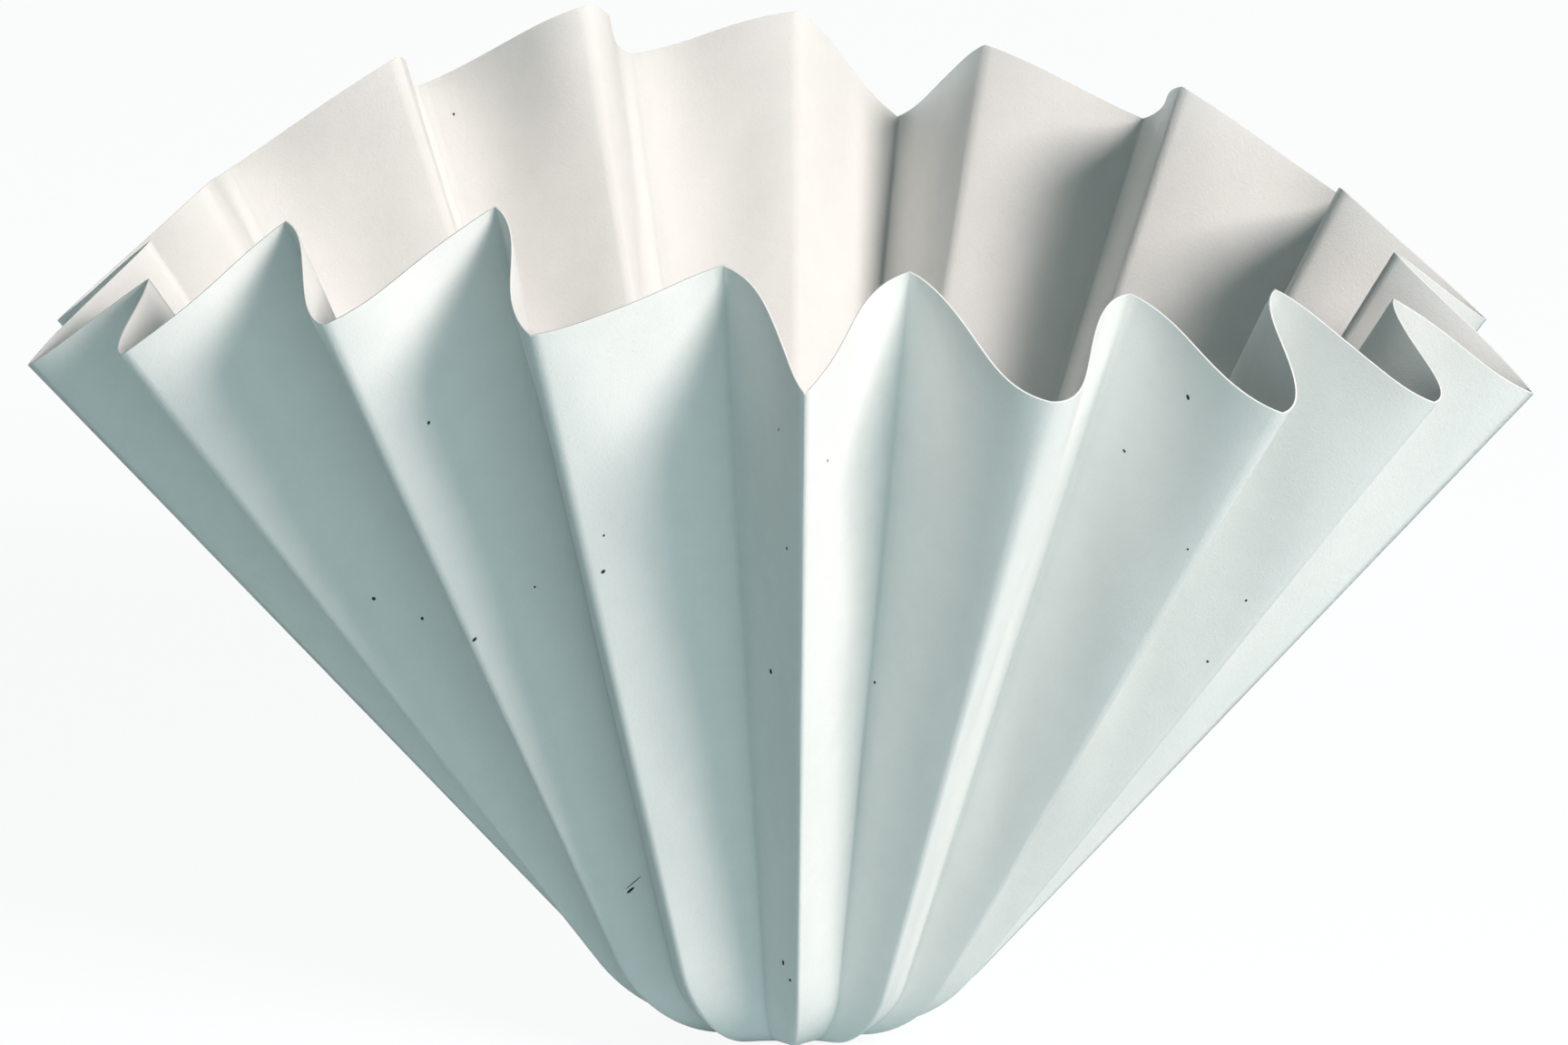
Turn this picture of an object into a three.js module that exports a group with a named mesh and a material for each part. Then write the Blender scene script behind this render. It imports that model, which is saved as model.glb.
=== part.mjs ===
// Fluted filter paper: one disc of filter paper, pleated round its centre and opened into an upright,
// slightly oval cone with a rounded bottom. It stands on the small flat spot at the centre of the disc.
// Millimetres, +Z up, with the origin on the flat spot. Turns are in degrees, counterclockwise from +X
// as seen from above, so the front of the paper faces -Y.

import * as THREE from 'three';
import { LoftGeometry } from 'three/addons/geometries/LoftGeometry.js';
import { mergeGeometries } from 'three/addons/utils/BufferGeometryUtils.js';

// Driving dimensions. The two bottom radii are those of the arcs that an outer ridge and an inner fold
// follow round the bottom of the cone.

const paperRadius = 120;
const paperThickness = 0.2;
const flatSpotRadius = 5;
const ridgeBottomRadius = 22;
const foldBottomRadius = 15;

// How the pleats settle towards the centre of the disc, as shares: how far a fold is relaxed there,
// against the rim, and how near the folds come to being evenly spread

const relaxedAtCentre = 0.35;
const evenSpreadAtCentre = 0.6;

// The pleats in order round the paper. Each has an outer ridge and the inner fold that follows it, and
// each of those has its turn, its flare from the upright, and how far the trimmed rim lies past or
// short of the disc's radius there. A fold is relaxed from 0, a sharp crease, to 1, a round bend.

const pleats = [
  {
    ridge: { turn: -176, flare: 41, trim: -1, relaxed: 0.3 },
    fold: { turn: -172.5, flare: 32.5, trim: -1, relaxed: 0.2 }
  },
  {
    ridge: { turn: -160.5, flare: 34.5, trim: 0.5, relaxed: 0.5 },
    fold: { turn: -157.5, flare: 23.5, trim: 3, relaxed: 0.3 }
  },
  {
    ridge: { turn: -141.5, flare: 25, trim: 1, relaxed: 0.6 },
    fold: { turn: -133.5, flare: 15.5, trim: 3.5, relaxed: 0.3 }
  },
  {
    ridge: { turn: -119, flare: 20.5, trim: 0.5, relaxed: 0.6 },
    fold: { turn: -99.5, flare: 15.5, trim: 0.5, relaxed: 0.5 }
  },
  {
    ridge: { turn: -89, flare: 23.5, trim: -0.5, relaxed: 0.15 },
    fold: { turn: -75, flare: 16.5, trim: 0.5, relaxed: 0.45 }
  },
  {
    ridge: { turn: -65.5, flare: 26, trim: -0.5, relaxed: 0.8 },
    fold: { turn: -49.5, flare: 21.5, trim: -0.5, relaxed: 0.5 }
  },
  {
    ridge: { turn: -45, flare: 31.5, trim: 0, relaxed: 0.7 },
    fold: { turn: -33, flare: 25.5, trim: 0, relaxed: 0.4 }
  },
  {
    ridge: { turn: -29.5, flare: 35.5, trim: 0.5, relaxed: 0.7 },
    fold: { turn: -18.5, flare: 30.5, trim: -1, relaxed: 0.3 }
  },
  {
    ridge: { turn: -15, flare: 39.5, trim: -0.5, relaxed: 0.3 },
    fold: { turn: -10.5, flare: 29, trim: 0, relaxed: 0.3 }
  },
  {
    ridge: { turn: 0.5, flare: 36, trim: -3.5, relaxed: 0.5 },
    fold: { turn: 9, flare: 26.5, trim: -2, relaxed: 0.3 }
  },
  {
    ridge: { turn: 25, flare: 30, trim: -3.5, relaxed: 0.4 },
    fold: { turn: 40, flare: 23.5, trim: -0.5, relaxed: 0.3 }
  },
  {
    ridge: { turn: 54, flare: 30, trim: -2.5, relaxed: 0.3 },
    fold: { turn: 70.5, flare: 29, trim: 1, relaxed: 0.3 }
  },
  {
    ridge: { turn: 81, flare: 37.5, trim: -2.5, relaxed: 0.25 },
    fold: { turn: 89.5, flare: 28, trim: 3.5, relaxed: 0.4 }
  },
  {
    ridge: { turn: 106, flare: 28.5, trim: 1.5, relaxed: 0.5 },
    fold: { turn: 115.5, flare: 21, trim: 4, relaxed: 0.5 }
  },
  {
    ridge: { turn: 129, flare: 28.5, trim: 1.5, relaxed: 0.5 },
    fold: { turn: 141.5, flare: 22.5, trim: 3, relaxed: 0.4 }
  },
  {
    ridge: { turn: 152.5, flare: 31.5, trim: 0, relaxed: 0.4 },
    fold: { turn: 167, flare: 30, trim: -0.5, relaxed: 0.4 }
  },
  {
    ridge: { turn: 174, flare: 40, trim: -2, relaxed: 0.4 },
    fold: { turn: 180, flare: 32, trim: 0, relaxed: 0.3 }
  }
];

// How the paper is divided for the mesh: the places across one panel, as shares of its width, and the
// numbers of rows round the bottom and up the straight wall above it

const panelPlaces = [0, 0.16, 0.38, 0.62, 0.84];
const bottomRows = 7;
const wallRows = 6;

// The folds and ridges as one closed list, in order round the paper

function foldLine({ turn, flare, trim, relaxed }, bottomRadius) {
  return {
    turn: THREE.MathUtils.degToRad(turn),
    flare: THREE.MathUtils.degToRad(flare),
    reach: paperRadius + trim,
    relaxed,
    bottomRadius
  };
}

const foldLines = pleats.flatMap(({ ridge, fold }) => [
  foldLine(ridge, ridgeBottomRadius),
  foldLine(fold, foldBottomRadius)
]);

// The folds are pressed at even turns in the flat disc. At its centre they lie nearer to those turns
// than to the turns that the opened wall has.

foldLines.forEach((line, i) => {
  const evenTurn = foldLines[0].turn + 2 * Math.PI * i / foldLines.length;
  line.centreTurn = THREE.MathUtils.lerp(line.turn, evenTurn, evenSpreadAtCentre);
});

// A point of one fold line, a share of its way up: flat at the centre, then round an arc until it has
// its own flare, then straight to the rim. Its place is the distance walked along the paper.

function pointOnFold(line, share) {
  const walked = share * (line.reach - flatSpotRadius);
  const fullArc = Math.PI / 2 - line.flare;
  const arc = Math.min(walked / line.bottomRadius, fullArc);
  const straight = walked - arc * line.bottomRadius;
  const radius = flatSpotRadius + line.bottomRadius * Math.sin(arc) + straight * Math.sin(line.flare);
  const height = line.bottomRadius * (1 - Math.cos(arc)) + straight * Math.cos(line.flare);
  const turn = THREE.MathUtils.lerp(line.centreTurn, line.turn, THREE.MathUtils.smoothstep(arc, 0, fullArc));
  return new THREE.Vector3(radius * Math.cos(turn), radius * Math.sin(turn), height);
}

// One ring of points round the paper, at a share of the way from the flat spot to the rim. Between two
// folds a panel runs as a cubic curve, which leaves each fold along the panel where the crease is sharp
// and along the ring where it is relaxed. Creases relax towards the rim.

function ringOfPaper(share) {
  const corners = foldLines.map((line) => pointOnFold(line, share));
  const count = corners.length;
  const alongRing = corners.map((corner, i) =>
    corners[(i + 1) % count].clone().sub(corners[(i + count - 1) % count]).normalize());
  const settling = THREE.MathUtils.lerp(relaxedAtCentre, 1, share);
  const ring = [];
  for (let i = 0; i < count; i++) {
    const next = (i + 1) % count;
    const chord = corners[next].clone().sub(corners[i]);
    const width = chord.length();
    const direction = chord.clone().normalize();
    const leave = direction.clone().lerp(alongRing[i], foldLines[i].relaxed * settling).normalize();
    const arrive = direction.clone().lerp(alongRing[next], foldLines[next].relaxed * settling).normalize();
    for (const t of panelPlaces) {
      ring.push(corners[i].clone().multiplyScalar(2 * t ** 3 - 3 * t ** 2 + 1)
        .addScaledVector(leave, width * (t ** 3 - 2 * t ** 2 + t))
        .addScaledVector(corners[next], 3 * t ** 2 - 2 * t ** 3)
        .addScaledVector(arrive, width * (t ** 3 - t ** 2)));
    }
  }
  return ring;
}

// The rows up the paper, closer together round the bottom, which ends where the longest arc does

function rowShares() {
  const arcs = foldLines.map((line) => line.bottomRadius * (Math.PI / 2 - line.flare));
  const wallStart = Math.max(...arcs) / (paperRadius - flatSpotRadius);
  const shares = [];
  for (let i = 0; i < bottomRows; i++) {
    shares.push(wallStart * i / bottomRows);
  }
  for (let i = 0; i <= wallRows; i++) {
    shares.push(THREE.MathUtils.lerp(wallStart, 1, i / wallRows));
  }
  return shares;
}

// The sheet's two faces lie half its thickness either side of the middle surface. A face's point moves
// along the mean of the normals of the flat pieces that meet there, and further at a sharp fold, so
// that the wall keeps its thickness.

function faceOfSheet(rings, side) {
  const columns = rings[0].length;
  const longestMitre = 3;
  return rings.map((ring, row) => ring.map((point, column) => {
    const before = ring[(column + columns - 1) % columns];
    const after = ring[(column + 1) % columns];
    const above = rings[Math.min(row + 1, rings.length - 1)][column];
    const below = rings[Math.max(row - 1, 0)][column];
    const upward = above.clone().sub(below);
    const normals = [point.clone().sub(before), after.clone().sub(point)]
      .map((along) => along.cross(upward).normalize());
    const mean = normals[0].clone().add(normals[1]).normalize();
    const mitre = Math.min(1 / mean.dot(normals[0]), longestMitre);
    return point.clone().addScaledVector(mean, side * mitre * paperThickness / 2);
  }));
}

// The flat spot's underside is level, at the origin's height, so the sheet is lifted by half its
// thickness and its first ring on each face is level too.

function levelled(ring, height) {
  return ring.map((point) => new THREE.Vector3(point.x, point.y, height));
}

// The closed skin of the sheet: up its outside from the flat spot, over the rim, down its inside, and
// across the floor of the flat spot.

function filterPaperGeometry() {
  const rings = rowShares().map(ringOfPaper);
  rings.flat().forEach((point) => { point.z += paperThickness / 2; });
  const outside = faceOfSheet(rings, 1);
  const inside = faceOfSheet(rings, -1);
  outside[0] = levelled(rings[0], 0);
  inside[0] = levelled(rings[0], paperThickness);
  const walls = new LoftGeometry([...outside, ...inside.toReversed()], { capStart: true });
  const floor = new THREE.ShapeGeometry(new THREE.Shape(inside[0].map(({ x, y }) => new THREE.Vector2(x, y))));
  floor.translate(0, 0, paperThickness);
  return mergeGeometries([walls, floor]);
}

const filterPaper = new THREE.Mesh(
  filterPaperGeometry(),
  new THREE.MeshStandardMaterial({ color: '#f4f4f0', roughness: 0.9, metalness: 0 })
);
filterPaper.name = 'filter_paper';

const part = new THREE.Group();
part.add(filterPaper);

export default part;
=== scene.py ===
"""Fluted filter paper: one disc of white filter paper, pleated and opened into an upright, slightly oval
cone with a rounded bottom. Metres, +Z up, with the origin under the flat spot that the paper stands on."""

import bpy
import numpy as np
from bpy.props import FloatProperty, FloatVectorProperty, IntProperty, PointerProperty
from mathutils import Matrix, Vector


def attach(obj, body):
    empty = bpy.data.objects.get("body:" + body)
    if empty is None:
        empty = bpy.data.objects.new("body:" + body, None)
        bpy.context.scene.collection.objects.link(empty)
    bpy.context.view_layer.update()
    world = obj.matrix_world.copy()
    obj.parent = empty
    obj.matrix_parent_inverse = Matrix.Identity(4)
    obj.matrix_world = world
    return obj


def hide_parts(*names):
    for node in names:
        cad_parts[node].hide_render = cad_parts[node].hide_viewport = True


bl_info = {
    "name": "Fluted Filter Paper",
    "version": (1, 0, 0),
    "blender": (4, 5, 0),
    "location": "View3D > Sidebar > Filter Paper",
    "description": "Builds a pleated disc of filter paper, opened into an upright cone, and its studio",
    "category": "Add Mesh",
}

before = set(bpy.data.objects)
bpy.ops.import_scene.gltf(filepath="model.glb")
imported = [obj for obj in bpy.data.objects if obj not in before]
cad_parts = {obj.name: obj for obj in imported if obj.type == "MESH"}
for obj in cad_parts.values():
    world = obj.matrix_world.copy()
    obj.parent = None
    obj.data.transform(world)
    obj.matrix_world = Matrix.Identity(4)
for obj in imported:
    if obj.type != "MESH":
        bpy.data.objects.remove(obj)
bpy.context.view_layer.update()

MM = 0.001

# Each pleat is an outer ridge and the inner fold that follows it, counterclockwise from the left end.
# Each of those has its turn and its flare from the upright in degrees, how far the trimmed rim lies past
# or short of the disc's radius in millimetres, and how far its crease is relaxed on the side before it
# and on the side after it, from 0, sharp, to 1, a round bend.
PLEATS = [
    {"ridge": (-176, 41, -1, 0.3, 0.3), "fold": (-172.5, 32.5, -1, 0.2, 0.2)},
    {"ridge": (-160.5, 34.5, 0.5, 0.5, 0.4), "fold": (-157.5, 23.5, 3, 0.1, 0.45)},
    {"ridge": (-141.5, 25, 1, 0.6, 0.4), "fold": (-133.5, 15.5, 3.5, 0.1, 0.5)},
    {"ridge": (-119, 20.5, 0.5, 0.5, 0.35), "fold": (-99.5, 15.5, 0.5, 0.1, 0.75)},
    {"ridge": (-89, 23.5, -0.5, 0.15, 0.15), "fold": (-75, 16.5, 0.5, 0.6, 0.35)},
    {"ridge": (-65.5, 26, -0.5, 0.75, 0.85), "fold": (-49.5, 21.5, -0.5, 0.75, 0.35)},
    {"ridge": (-45, 31.5, 0, 0.6, 0.8), "fold": (-33, 25.5, 0, 0.55, 0.3)},
    {"ridge": (-29.5, 35.5, 0.5, 0.6, 0.7), "fold": (-18.5, 30.5, -1, 0.4, 0.2)},
    {"ridge": (-15, 39.5, -0.5, 0.3, 0.3), "fold": (-10.5, 29, 0, 0.3, 0.3)},
    {"ridge": (0.5, 36, -3.5, 0.5, 0.5), "fold": (9, 26.5, -2, 0.3, 0.3)},
    {"ridge": (25, 30, -3.5, 0.4, 0.4), "fold": (40, 23.5, -0.5, 0.3, 0.3)},
    {"ridge": (54, 30, -2.5, 0.3, 0.3), "fold": (70.5, 29, 1, 0.3, 0.3)},
    {"ridge": (81, 37.5, -2.5, 0.25, 0.25), "fold": (89.5, 28, 3.5, 0.4, 0.4)},
    {"ridge": (106, 28.5, 1.5, 0.5, 0.5), "fold": (115.5, 21, 4, 0.5, 0.5)},
    {"ridge": (129, 28.5, 1.5, 0.5, 0.5), "fold": (141.5, 22.5, 3, 0.4, 0.4)},
    {"ridge": (152.5, 31.5, 0, 0.4, 0.4), "fold": (167, 30, -0.5, 0.4, 0.4)},
    {"ridge": (174, 40, -2, 0.4, 0.4), "fold": (180, 32, 0, 0.3, 0.3)},
]

# Specks of dust, each with its panel, counted from the left end, its place across the panel and its share
# of the way up, the face it lies on, 1 outside and -1 inside, its length and width in millimetres, and
# its lean from the upright in degrees
SPECKS = [
    (27, 0.86, 0.96, -1, 0.35, 0.25, 10),
    (4, 0.31, 0.85, 1, 0.45, 0.35, 30),
    (2, 0.36, 0.64, 1, 0.5, 0.4, -20),
    (2, 0.6, 0.59, 1, 0.4, 0.35, 0),
    (4, 0.04, 0.62, 1, 0.7, 0.35, 60),
    (4, 0.61, 0.63, 1, 0.3, 0.25, 0),
    (6, 0.1, 0.72, 1, 0.6, 0.4, 50),
    (6, 0.15, 0.76, 1, 0.35, 0.25, 20),
    (7, 0.39, 0.58, 1, 0.75, 0.55, 15),
    (7, 0.64, 0.9, 1, 0.4, 0.35, 0),
    (7, 0.79, 0.78, 1, 0.45, 0.4, 20),
    (8, 0.26, 0.88, 1, 0.4, 0.3, 40),
    (9, 0.06, 0.54, 1, 0.4, 0.3, 0),
    (11, 0.5, 0.95, 1, 0.65, 0.45, -50),
    (11, 0.28, 0.85, 1, 0.5, 0.3, -70),
    (11, 0.92, 0.81, 1, 0.3, 0.25, 0),
    (13, 0.83, 0.71, 1, 0.35, 0.25, 10),
    (13, 0.88, 0.63, 1, 0.35, 0.3, 0),
    (7, 0.6, 0.235, 1, 0.8, 0.4, 5),
    (7, 0.8, 0.225, 1, 0.6, 0.35, 30),
    (4, 0.62, 0.275, 1, 1.1, 0.35, 65),
    (4, 0.7, 0.28, 1, 2.4, 0.12, 65),
]

FOLD_LINES = np.array([line for pleat in PLEATS for line in (pleat["ridge"], pleat["fold"])], float)

# The slow waves of the cockled sheet, each with its height against the tallest, the number of waves once
# round the paper, the number of waves from the flat spot to the rim, and its start in radians
COCKLE_WAVES = [(1, 9, 1.7, 0), (0.7, 23, -2.6, 1), (0.5, 41, 3.9, 2.2)]

# The paper's finish: the noise scales of the clouds and of the fibres, for positions in metres, the tone
# of thin paper against thick, the grey of the painted shade in the groove of each crease and how far the
# groove takes it, and the share of light let through
CLOUD_SCALE = 260.0
FIBRE_SCALE = 2800.0
THIN_TONE = 0.93
GROOVE_SHADE_GREY = "#a9b8b3"
GROOVE_SHADE_SHARE = 0.3
LET_THROUGH = 0.08

# The dust's finish: the noise scale of its grains and the tone of the palest grain against the darkest
GRAIN_SCALE = 6000.0
PALEST_GRAIN = 2.2

# The studio, in metres: the point that the camera and the lamps face, the way from it to the low lamps in
# front and behind, their width and height, the camera's farthest view and half the width of the floor
AIM = Vector((-1.1 * MM, 0, 59 * MM))
TOWARDS_FILL = Vector((0.25, -1.15, 0))
TOWARDS_BACK = Vector((-0.7, 0.95, 0))
LOW_LAMP_SIZE = (1.2, 0.12)
FARTHEST_VIEW = 20
FLOOR_HALF_WIDTH = 6.0

# The width of the camera's sensor in millimetres
SENSOR_WIDTH = 36

# The studio's colours, and how the camera sees the floor: the share of plain white over the paint, and
# the strength of that white
KEY_COLOUR = "#fff4f0"
FILL_COLOUR = "#c0d6d8"
BACK_COLOUR = "#e4ecec"
SKY_COLOUR = "#b4d8da"
FLOOR_PAINT = "#a9c0c4"
WHITE = "#ffffff"
PLAIN_SHARE = 0.8
PLAIN_STRENGTH = 1.15


# Settings

class FilterPaperSettings(bpy.types.PropertyGroup):
    """Sizes and finish of the pleated sheet."""

    paper_radius: FloatProperty(
        name="Paper radius", description="Radius of the flat disc before folding",
        default=0.12, unit="LENGTH", precision=4)
    thickness: FloatProperty(
        name="Thickness", description="Thickness of the sheet",
        default=0.0002, unit="LENGTH", precision=5)
    flat_spot_radius: FloatProperty(
        name="Flat spot radius", description="Radius of the level spot that the paper stands on",
        default=0.005, unit="LENGTH", precision=4)
    ridge_bottom_radius: FloatProperty(
        name="Ridge bottom radius", description="Radius that an outer ridge follows round the bottom",
        default=0.022, unit="LENGTH", precision=4)
    fold_bottom_radius: FloatProperty(
        name="Fold bottom radius", description="Radius that an inner fold follows round the bottom",
        default=0.015, unit="LENGTH", precision=4)
    relaxed_at_centre: FloatProperty(
        name="Relaxed at centre", description="How relaxed the folds are at the centre, against the rim",
        default=0.2, min=0, max=1)
    even_spread_at_centre: FloatProperty(
        name="Even spread at centre", description="How near the folds come to even turns at the centre",
        default=0.6, min=0, max=1)
    cockle: FloatProperty(
        name="Cockle", description="Height of the slow waves that handling leaves in the panels",
        default=0.00022, unit="LENGTH", precision=5)
    places: IntProperty(
        name="Places across a panel", description="Columns of the mesh in each panel", default=20, min=4)
    bottom_rows: IntProperty(
        name="Bottom rows", description="Rows of the mesh round the bottom", default=22, min=4)
    wall_rows: IntProperty(
        name="Wall rows", description="Rows of the mesh up the wall", default=32, min=4)
    paper_colour: FloatVectorProperty(
        name="Paper colour", description="Colour of the uncoated sheet", subtype="COLOR_GAMMA",
        size=3, default=(0.957, 0.957, 0.949), min=0, max=1)


class SpeckSettings(bpy.types.PropertyGroup):
    """The dark specks of dust on the sheet."""

    height: FloatProperty(
        name="Height", description="How far a speck stands off the paper",
        default=0.00006, unit="LENGTH", precision=5)
    colour: FloatVectorProperty(
        name="Colour", description="Colour of the dust", subtype="COLOR_GAMMA",
        size=3, default=(0.16, 0.19, 0.19), min=0, max=1)


class StudioSettings(bpy.types.PropertyGroup):
    """Camera, lamps, world and floor."""

    camera_distance: FloatProperty(
        name="Camera distance", description="From the camera to its aim", default=1.0, unit="LENGTH")
    camera_elevation: FloatProperty(
        name="Camera elevation", description="Height of the view above the level",
        default=np.radians(19.8), subtype="ANGLE")
    lens: FloatProperty(name="Lens", description="Focal length in millimetres", default=207.1)
    key_power: FloatProperty(name="Key power", description="Watts of the key lamp", default=14.2)
    key_azimuth: FloatProperty(
        name="Key azimuth", description="Turn of the key lamp from the right, towards the front",
        default=np.radians(44), subtype="ANGLE")
    key_elevation: FloatProperty(
        name="Key elevation", description="Height of the key lamp above the level",
        default=np.radians(34), subtype="ANGLE")
    key_distance: FloatProperty(
        name="Key distance", description="From the key lamp to the paper", default=1.1, unit="LENGTH")
    key_size: FloatProperty(
        name="Key size", description="Side of the square key lamp", default=0.38, unit="LENGTH")
    fill_power: FloatProperty(
        name="Fill power", description="Watts of the low, cool lamp in front", default=3.8)
    back_power: FloatProperty(
        name="Back power", description="Watts of the low lamp behind the paper", default=10.0)
    world_strength: FloatProperty(
        name="World strength", description="Strength of the light from all sides", default=0.24)


# Colours and nodes

def linear(hex_colour):
    """sRGB hex to linear RGBA: a channel is divided by 12.92 up to 0.04045, and otherwise raised to 2.4."""
    srgb = np.array([int(hex_colour[i:i + 2], 16) for i in (1, 3, 5)]) / 255
    return linear_rgb(srgb)


def linear_rgb(srgb):
    """The same for a colour given as three sRGB numbers from 0 to 1."""
    srgb = np.asarray(srgb, float)
    rgb = np.where(srgb <= 0.04045, srgb / 12.92, ((srgb + 0.055) / 1.055) ** 2.4)
    return (*rgb.tolist(), 1.0)


def add_node(tree, kind, settings=None, links=None):
    """Adds a node, sets its attributes and its sockets, and links its inputs from other nodes' sockets."""
    node = tree.nodes.new(kind)
    for name, value in (settings or {}).items():
        if isinstance(name, str) and hasattr(node, name):
            setattr(node, name, value)
        else:
            node.inputs[name].default_value = value
    for name, source in (links or {}).items():
        tree.links.new(source, node.inputs[name])
    return node


def emptied_tree(owner):
    """The node tree of a material or a world, with no node left in it."""
    owner.use_nodes = True
    owner.node_tree.nodes.clear()
    return owner.node_tree


# The sheet's middle surface

def smoothstep(x):
    """3x² − 2x³ of x held between 0 and 1."""
    x = np.clip(x, 0, 1)
    return x * x * (3 - 2 * x)


def unit(vectors):
    """Vectors of length 1."""
    return vectors / np.linalg.norm(vectors, axis=-1, keepdims=True)


def bottom_radii(s):
    """The radius that each fold line follows round the bottom, where ridges and inner folds alternate."""
    return np.where(np.arange(len(FOLD_LINES)) % 2, s.fold_bottom_radius, s.ridge_bottom_radius)


def fold_curves(s, shares):
    """Points (share, fold, xyz) of every fold line. A point's place is the distance walked along the
    paper: flat to the edge of the flat spot, then round an arc until the line has its own flare, then
    straight to the rim. At the centre the line's turn is nearer to that of an evenly folded disc."""
    turn, flare, trim = FOLD_LINES[:, :3].T
    count = len(turn)
    turn, flare = np.radians(turn), np.radians(flare)
    bottom = bottom_radii(s)
    even = turn[0] + 2 * np.pi * np.arange(count) / count
    centre_turn = turn + (even - turn) * s.even_spread_at_centre
    walked = shares[:, None] * (s.paper_radius + trim * MM - s.flat_spot_radius)
    full_arc = np.pi / 2 - flare
    arc = np.minimum(walked / bottom, full_arc)
    straight = walked - arc * bottom
    radius = s.flat_spot_radius + bottom * np.sin(arc) + straight * np.sin(flare)
    height = bottom * (1 - np.cos(arc)) + straight * np.cos(flare)
    angle = centre_turn + (turn - centre_turn) * smoothstep(arc / full_arc)
    return np.stack([radius * np.cos(angle), radius * np.sin(angle), height], -1)


def sheet_surface(s, shares, places):
    """Points (share, panel, place, xyz) of the sheet's middle surface, where place goes from 0 to 1
    across a panel. Each panel is a cubic Hermite curve between its two folds, whose end tangents turn
    from the panel's own direction towards the ring's as the crease relaxes. It relaxes towards the rim
    with the square of the share."""
    corners = fold_curves(s, shares)
    following = np.roll(corners, -1, axis=1)
    along_ring = unit(following - np.roll(corners, 1, axis=1))
    chord = following - corners
    width = np.linalg.norm(chord, axis=-1, keepdims=True)
    direction = chord / width
    settling = s.relaxed_at_centre + (1 - s.relaxed_at_centre) * shares[:, None, None] ** 2
    before, after = FOLD_LINES[None, :, 3:4] * settling, FOLD_LINES[None, :, 4:5] * settling
    leave = unit(direction + (along_ring - direction) * after)
    arrive = unit(direction + (np.roll(along_ring, -1, axis=1) - direction) * np.roll(before, -1, axis=1))
    t = places[None, None, :, None]
    corners, following, width = corners[:, :, None], following[:, :, None], width[:, :, None]
    points = corners * (2 * t ** 3 - 3 * t ** 2 + 1) + following * (3 * t ** 2 - 2 * t ** 3)
    points = points + width * (t ** 3 - 2 * t ** 2 + t) * leave[:, :, None]
    return points + width * (t ** 3 - t ** 2) * arrive[:, :, None]


def row_shares(s):
    """Shares of the way from the flat spot to the rim, closer together round the bottom. The last two
    rows lie almost together, so that the cut edge shades as an edge and not as a round lip."""
    arcs = bottom_radii(s) * (np.pi / 2 - np.radians(FOLD_LINES[:, 1]))
    wall_start = arcs.max() / (s.paper_radius - s.flat_spot_radius)
    lower = np.linspace(0, wall_start, s.bottom_rows, endpoint=False)
    cut_edge = 0.0004
    return np.concatenate([lower, np.linspace(wall_start, 1 - cut_edge, s.wall_rows), [1]])


def surface_normals(points):
    """Unit normals of a closed (row, column, xyz) grid that face out of the cone: the column direction
    crossed with the row direction, both as differences of the neighbours."""
    across = np.roll(points, -1, axis=1) - np.roll(points, 1, axis=1)
    upward = np.gradient(points, axis=0)
    return unit(np.cross(across, upward))


def cockled(s, points, shares, columns):
    """The surface moved along its normals by slow sine waves round and up the paper. They fade out
    towards the flat spot and at the folds, so that the folds stay straight."""
    row = shares[:, None]
    ring = np.arange(columns)[None] / columns
    place = ring * len(FOLD_LINES) % 1
    wave = sum(
        height * np.sin(2 * np.pi * (around * ring + up * row) + start)
        for height, around, up, start in COCKLE_WAVES)
    still_until, full_after = 0.2, 0.5
    fade = smoothstep((row - still_until) / (full_after - still_until)) * np.sin(np.pi * place)
    return points + surface_normals(points) * (s.cockle * wave * fade)[..., None]


def closed_grid_faces(rows, columns):
    """Quads of a (rows, columns) grid whose columns close on themselves, counterclockwise from outside."""
    first = np.arange(rows - 1)[:, None] * columns + np.arange(columns)[None]
    beside = np.arange(rows - 1)[:, None] * columns + (np.arange(columns)[None] + 1) % columns
    return np.stack([first, beside, beside + columns, first + columns], -1).reshape(-1, 4)


def sheet_faces(s):
    """The shares of the rows and the outside and inside of the sheet as (row, column, xyz) grids, each
    half the thickness from the middle surface along its normals. The flat spot's two rings are level."""
    shares = row_shares(s)
    places = np.linspace(0, 1, s.places, endpoint=False)
    middle = sheet_surface(s, shares, places)
    columns = middle.shape[1] * middle.shape[2]
    middle = cockled(s, middle.reshape(len(shares), columns, 3), shares, columns)
    middle[..., 2] += s.thickness / 2
    normals = surface_normals(middle)
    outside = middle + normals * s.thickness / 2
    inside = middle - normals * s.thickness / 2
    outside[0], inside[0] = middle[0], middle[0]
    outside[0, :, 2], inside[0, :, 2] = 0, s.thickness
    return shares, outside, inside


def sheet_mesh(s):
    """The closed skin of the sheet: up its outside, over the rim, down its inside, and across the floor
    of the flat spot, outside and inside."""
    shares, outside, inside = sheet_faces(s)
    rows, columns = outside.shape[:2]
    skin = np.concatenate([outside, inside[::-1]])
    centres = np.array([[0, 0, 0], [0, 0, s.thickness]])
    vertices = np.concatenate([skin.reshape(-1, 3), centres])
    quads = closed_grid_faces(2 * rows, columns)
    ring = np.arange(columns)
    beside = (ring + 1) % columns
    last = (2 * rows - 1) * columns
    under = np.stack([beside, ring, np.full(columns, 2 * rows * columns)], -1)
    floor = np.stack([last + ring, last + beside, np.full(columns, 2 * rows * columns + 1)], -1)
    folded = np.concatenate([shares, shares[::-1]])
    point_values = {
        "flat_layout": flat_layout(s, folded, columns),
        "groove_shade": painted_groove_shade(s, rows, columns),
    }
    return vertices, quads, np.concatenate([under, floor]), point_values


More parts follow.
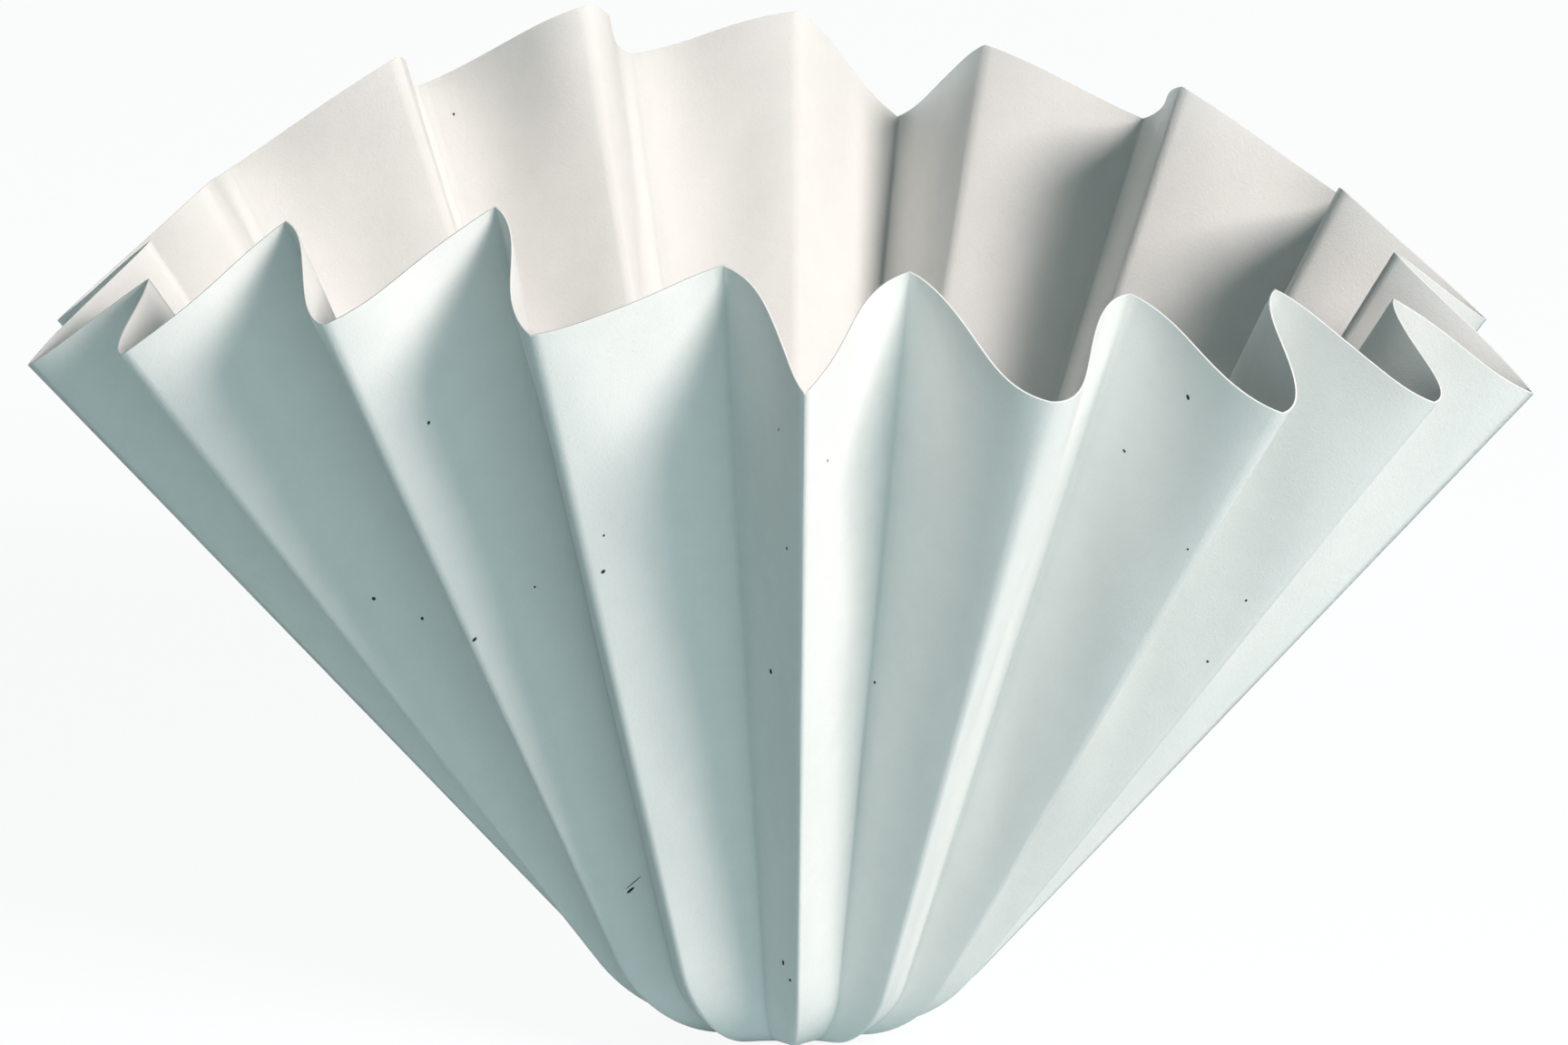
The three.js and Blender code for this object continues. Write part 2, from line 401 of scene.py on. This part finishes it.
def painted_groove_shade(s, rows, columns):
    """How near each skin vertex lies to the groove of a fold, which gets painted shade: outside that is an
    inner fold and inside an outer ridge. It is 1 on the line and halves with every column away from it."""
    column = np.arange(columns)
    two_panels = 2 * s.places
    from_ridge = np.minimum(column % two_panels, -column % two_panels)
    from_fold = s.places - from_ridge
    outside = np.repeat(0.5 ** from_fold[None], rows, axis=0)
    inside = np.repeat(0.5 ** from_ridge[None], rows, axis=0)
    skin = np.concatenate([outside.reshape(-1), inside.reshape(-1), [0, 0]])
    return np.stack([skin, skin, skin], -1)


def grid_point(grid, row, column):
    """A point of a closed (row, column, xyz) grid between four of its corners, weighted by nearness."""
    low, left = int(row), int(column)
    up, across = row - low, column - left
    beside = (left + 1) % grid.shape[1]
    lower = grid[low, left] * (1 - across) + grid[low, beside] * across
    upper = grid[low + 1, left] * (1 - across) + grid[low + 1, beside] * across
    return lower * (1 - up) + upper * up


def speck_mesh(s, height):
    """Flattened ellipsoids, each half sunk in the sheet's face: the cosine and sine of the turn give its
    length and width, and the cosine of the angle from the pole its height. The poles are closed."""
    shares, outside, inside = sheet_faces(s)
    around, down = 10, 6
    turn = 2 * np.pi * np.arange(around) / around
    polar = np.pi * (np.arange(down) + 1) / (down + 1)
    ring = np.stack([
        np.outer(np.sin(polar), np.cos(turn)), np.outer(np.sin(polar), np.sin(turn)),
        np.outer(np.cos(polar), np.ones(around))], -1).reshape(-1, 3)
    ball = np.concatenate([ring, [[0, 0, 1], [0, 0, -1]]])
    quads = closed_grid_faces(down, around)[:, ::-1]
    here = np.arange(around)
    beside = (here + 1) % around
    top, foot = np.full(around, down * around), np.full(around, down * around + 1)
    last = (down - 1) * around
    caps = np.concatenate([
        np.stack([here, beside, top], -1), np.stack([last + beside, last + here, foot], -1)])
    points = []
    for panel, place, share, side, length, width, lean in SPECKS:
        grid = outside if side > 0 else inside
        row = np.interp(share, shares, np.arange(len(shares)))
        column = (panel + place) * s.places
        centre = grid_point(grid, row, column)
        upward = unit(grid_point(grid, row + 0.5, column) - centre)
        beside_it = unit(grid_point(grid, row, column + 0.5) - centre)
        normal = unit(np.cross(beside_it, upward)) * side
        sideways = np.cross(upward, normal)
        lean = np.radians(lean)
        long_way = upward * np.cos(lean) + sideways * np.sin(lean)
        axes = np.stack([
            long_way * length * MM / 2, np.cross(normal, long_way) * width * MM / 2, normal * height])
        points.append(centre + ball @ axes)
    shift = np.arange(len(SPECKS))[:, None, None] * len(ball)
    return np.concatenate(points), (quads + shift).reshape(-1, 4), (caps + shift).reshape(-1, 3)


def flat_layout(s, shares, columns):
    """Where each skin vertex lies on the unfolded disc, in metres: the walked distance from its centre,
    at the even turn of its column. The paper's texture was there before the folding, so it follows this."""
    walked = s.flat_spot_radius + shares[:, None] * (s.paper_radius - s.flat_spot_radius)
    turn = 2 * np.pi * np.arange(columns)[None] / columns
    level = np.zeros((len(shares), columns))
    layout = np.stack([walked * np.cos(turn), walked * np.sin(turn), level], -1).reshape(-1, 3)
    return np.concatenate([layout, np.zeros((2, 3))])


def mesh_object(name, vertices, quads, triangles, point_values=None):
    """A smooth mesh object from whole arrays. Each of point_values becomes a vector on every vertex."""
    mesh = bpy.data.meshes.new(name)
    loops = np.concatenate([quads.reshape(-1), triangles.reshape(-1)])
    starts = np.concatenate([np.arange(len(quads)) * 4, len(quads) * 4 + np.arange(len(triangles)) * 3])
    mesh.vertices.add(len(vertices))
    mesh.loops.add(len(loops))
    mesh.polygons.add(len(starts))
    mesh.vertices.foreach_set("co", vertices.astype(np.float32).reshape(-1))
    mesh.loops.foreach_set("vertex_index", loops.astype(np.int32))
    mesh.polygons.foreach_set("loop_start", starts.astype(np.int32))
    mesh.update(calc_edges=True)
    mesh.validate()
    mesh.shade_smooth()
    for label, values in (point_values or {}).items():
        spread = mesh.attributes.new(label, "FLOAT_VECTOR", "POINT")
        spread.data.foreach_set("vector", np.asarray(values, np.float32).reshape(-1))
    made = bpy.data.objects.new(name, mesh)
    bpy.context.collection.objects.link(made)
    return made


# Finishes

def cellulose_paper(s):
    """Uncoated cellulose filter paper, made on a wire without filler or gloss: dead matt, with the cloudy
    look of matted fibres a few millimetres across, a soft felt of fibres, and a little light let through."""
    material = bpy.data.materials.new("uncoated cellulose filter paper")
    tree = emptied_tree(material)
    layout = add_node(tree, "ShaderNodeAttribute", {"attribute_name": "flat_layout"}).outputs["Vector"]
    clouds = add_node(
        tree, "ShaderNodeTexNoise", {"Scale": CLOUD_SCALE, "Detail": 5.0, "Roughness": 0.6},
        {"Vector": layout})
    colour = linear_rgb(s.paper_colour)
    thin = tuple(channel * THIN_TONE for channel in colour[:3])
    tone = add_node(
        tree, "ShaderNodeMix", {"data_type": "RGBA", "A": (*thin, 1.0), "B": colour},
        {"Factor": clouds.outputs["Fac"]})
    # Painted shade: the groove of each crease is greyed, standing in for the shade that falls in it
    groove_shade = add_node(tree, "ShaderNodeAttribute", {"attribute_name": "groove_shade"}).outputs["Fac"]
    share = add_node(tree, "ShaderNodeMath", {"operation": "MULTIPLY", 1: GROOVE_SHADE_SHARE}, {0: groove_shade})
    tone = add_node(
        tree, "ShaderNodeMix", {"data_type": "RGBA", "B": linear(GROOVE_SHADE_GREY)},
        {"Factor": share.outputs[0], "A": tone.outputs[2]})
    # Real fibres are about 0.03 mm wide. These are drawn at 0.35 mm, which is as fine as the view shows.
    fibres = add_node(
        tree, "ShaderNodeTexNoise",
        {"Scale": FIBRE_SCALE, "Detail": 3.0, "Roughness": 0.65, "Distortion": 1.2}, {"Vector": layout})
    relief = add_node(
        tree, "ShaderNodeBump", {"Strength": 0.5, "Distance": 0.0001},
        {"Height": fibres.outputs["Fac"]})
    paper = add_node(
        tree, "ShaderNodeBsdfPrincipled", {"Roughness": 0.92, "IOR": 1.47, "Specular IOR Level": 0.25},
        {"Base Color": tone.outputs[2], "Normal": relief.outputs["Normal"]})
    through = add_node(
        tree, "ShaderNodeBsdfTranslucent",
        links={"Color": tone.outputs[2], "Normal": relief.outputs["Normal"]})
    both = add_node(
        tree, "ShaderNodeMixShader", {"Fac": LET_THROUGH},
        {1: paper.outputs["BSDF"], 2: through.outputs["BSDF"]})
    add_node(tree, "ShaderNodeOutputMaterial", links={"Surface": both.outputs["Shader"]})
    return material


def dark_dust(colour):
    """Specks of dark dust and lint, sunk into the felt: fully rough and a little uneven in tone."""
    material = bpy.data.materials.new("matt dark dust")
    tree = emptied_tree(material)
    place = add_node(tree, "ShaderNodeTexCoord").outputs["Object"]
    grains = add_node(tree, "ShaderNodeTexNoise", {"Scale": GRAIN_SCALE, "Detail": 2.0}, {"Vector": place})
    dark = linear_rgb(colour)
    pale = tuple(channel * PALEST_GRAIN for channel in dark[:3])
    tone = add_node(
        tree, "ShaderNodeMix", {"data_type": "RGBA", "A": dark, "B": (*pale, 1.0)},
        {"Factor": grains.outputs["Fac"]})
    dust = add_node(
        tree, "ShaderNodeBsdfPrincipled", {"Roughness": 1.0, "Specular IOR Level": 0.1},
        {"Base Color": tone.outputs[2]})
    add_node(tree, "ShaderNodeOutputMaterial", links={"Surface": dust.outputs["BSDF"]})
    return material


# Pieces

class FILTERPAPER_OT_sheet(bpy.types.Operator):
    """Builds the pleated sheet in place of the plain one"""

    bl_idname = "filter_paper.sheet"
    bl_label = "Pleated sheet"

    def execute(self, context):
        s = context.scene.filter_paper
        sheet = mesh_object("pleated_sheet", *sheet_mesh(s))
        sheet.data.materials.append(cellulose_paper(s))
        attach(sheet, "root")
        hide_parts("filter_paper")
        return {"FINISHED"}


class FILTERPAPER_OT_specks(bpy.types.Operator):
    """Scatters the specks of dust over the sheet"""

    bl_idname = "filter_paper.specks"
    bl_label = "Specks"

    def execute(self, context):
        dust = context.scene.filter_paper_specks
        specks = mesh_object("dust_specks", *speck_mesh(context.scene.filter_paper, dust.height))
        specks.data.materials.append(dark_dust(dust.colour))
        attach(specks, "root")
        return {"FINISHED"}


class FILTERPAPER_OT_studio(bpy.types.Operator):
    """Sets up the camera, the soft lamps, the world and the pale floor"""

    bl_idname = "filter_paper.studio"
    bl_label = "Studio"

    def execute(self, context):
        s = context.scene.filter_paper_studio
        self.place_camera(context, s)
        level = np.cos(s.key_elevation)
        towards_key = Vector((
            level * np.cos(s.key_azimuth), -level * np.sin(s.key_azimuth), np.sin(s.key_elevation)))
        key_size = (s.key_size, s.key_size)
        self.hang_lamp(context, "key", s.key_power, key_size, KEY_COLOUR, towards_key * s.key_distance)
        self.hang_lamp(context, "fill", s.fill_power, LOW_LAMP_SIZE, FILL_COLOUR, TOWARDS_FILL)
        self.hang_lamp(context, "back", s.back_power, LOW_LAMP_SIZE, BACK_COLOUR, TOWARDS_BACK)
        self.light_world(context, s)
        self.lay_floor(context)
        return {"FINISHED"}

    def place_camera(self, context, s):
        """The camera, in front of the aim and above it. Colours are shown as they are."""
        back = Vector((0, -np.cos(s.camera_elevation), np.sin(s.camera_elevation)))
        lens = bpy.data.cameras.new("camera")
        lens.lens = s.lens
        lens.sensor_width = SENSOR_WIDTH
        lens.clip_end = FARTHEST_VIEW
        camera = bpy.data.objects.new("camera", lens)
        camera.location = AIM + back * s.camera_distance
        camera.rotation_euler = (-back).to_track_quat("-Z", "Y").to_euler()
        context.collection.objects.link(camera)
        context.scene.camera = camera
        context.scene.view_settings.view_transform = "Standard"

    def hang_lamp(self, context, name, power, size, colour, offset):
        """A soft lamp of a width and height, at an offset from the aim and facing it. The camera doesn't
        see the lamp itself."""
        light = bpy.data.lights.new(name, "AREA")
        light.energy = power
        light.shape = "RECTANGLE"
        light.size, light.size_y = size
        light.color = linear(colour)[:3]
        lamp = bpy.data.objects.new(name, light)
        lamp.location = AIM + offset
        lamp.rotation_euler = offset.to_track_quat("Z", "Y").to_euler()
        lamp.visible_camera = False
        context.collection.objects.link(lamp)

    def light_world(self, context, s):
        """An even, slightly cool sky. The camera sees it as white."""
        world = context.scene.world or bpy.data.worlds.new("studio")
        context.scene.world = world
        tree = emptied_tree(world)
        path = add_node(tree, "ShaderNodeLightPath")
        sky = {"Color": linear(SKY_COLOUR), "Strength": s.world_strength}
        lit = add_node(tree, "ShaderNodeBackground", sky)
        seen = add_node(tree, "ShaderNodeBackground", {"Color": linear(WHITE), "Strength": 1.0})
        either = add_node(tree, "ShaderNodeMixShader", links={
            0: path.outputs["Is Camera Ray"], 1: lit.outputs["Background"], 2: seen.outputs["Background"]})
        add_node(tree, "ShaderNodeOutputWorld", links={"Surface": either.outputs["Shader"]})

    def lay_floor(self, context):
        """A pale painted floor, level with the underside of the paper. The camera sees it mostly as plain
        white, so that only a soft shadow shows."""
        size = FLOOR_HALF_WIDTH
        corners = np.array([[-size, -size, 0], [size, -size, 0], [size, size, 0], [-size, size, 0]])
        floor = mesh_object("floor", corners, np.array([[0, 1, 2, 3]]), np.zeros((0, 3), int))
        material = bpy.data.materials.new("matt pale painted board")
        tree = emptied_tree(material)
        path = add_node(tree, "ShaderNodeLightPath")
        paint = add_node(tree, "ShaderNodeBsdfDiffuse", {"Color": linear(FLOOR_PAINT)})
        plain = add_node(
            tree, "ShaderNodeEmission", {"Color": linear(WHITE), "Strength": PLAIN_STRENGTH})
        seen = add_node(
            tree, "ShaderNodeMixShader", {"Fac": PLAIN_SHARE},
            {1: paint.outputs["BSDF"], 2: plain.outputs["Emission"]})
        either = add_node(tree, "ShaderNodeMixShader", links={
            0: path.outputs["Is Camera Ray"], 1: paint.outputs["BSDF"], 2: seen.outputs["Shader"]})
        add_node(tree, "ShaderNodeOutputMaterial", links={"Surface": either.outputs["Shader"]})
        floor.data.materials.append(material)


class FILTERPAPER_PT_panel(bpy.types.Panel):
    """Sizes and pieces of the filter paper"""

    bl_label = "Filter Paper"
    bl_idname = "FILTERPAPER_PT_panel"
    bl_space_type = "VIEW_3D"
    bl_region_type = "UI"
    bl_category = "Filter Paper"

    def draw(self, context):
        scene = context.scene
        for settings, operator in (
            (scene.filter_paper, "filter_paper.sheet"),
            (scene.filter_paper_specks, "filter_paper.specks"),
            (scene.filter_paper_studio, "filter_paper.studio"),
        ):
            box = self.layout.box()
            for name in settings.bl_rna.properties.keys():
                if name not in ("rna_type", "name"):
                    box.prop(settings, name)
            box.operator(operator)


CLASSES = (
    FilterPaperSettings,
    SpeckSettings,
    StudioSettings,
    FILTERPAPER_OT_sheet,
    FILTERPAPER_OT_specks,
    FILTERPAPER_OT_studio,
    FILTERPAPER_PT_panel,
)


def register():
    for cls in CLASSES:
        bpy.utils.register_class(cls)
    bpy.types.Scene.filter_paper = PointerProperty(type=FilterPaperSettings)
    bpy.types.Scene.filter_paper_specks = PointerProperty(type=SpeckSettings)
    bpy.types.Scene.filter_paper_studio = PointerProperty(type=StudioSettings)


def unregister():
    del bpy.types.Scene.filter_paper_studio
    del bpy.types.Scene.filter_paper_specks
    del bpy.types.Scene.filter_paper
    for cls in reversed(CLASSES):
        bpy.utils.unregister_class(cls)


def main():
    """Builds every piece and the studio."""
    register()
    bpy.ops.filter_paper.sheet()
    bpy.ops.filter_paper.specks()
    bpy.ops.filter_paper.studio()


if __name__ == "__main__":
    main()
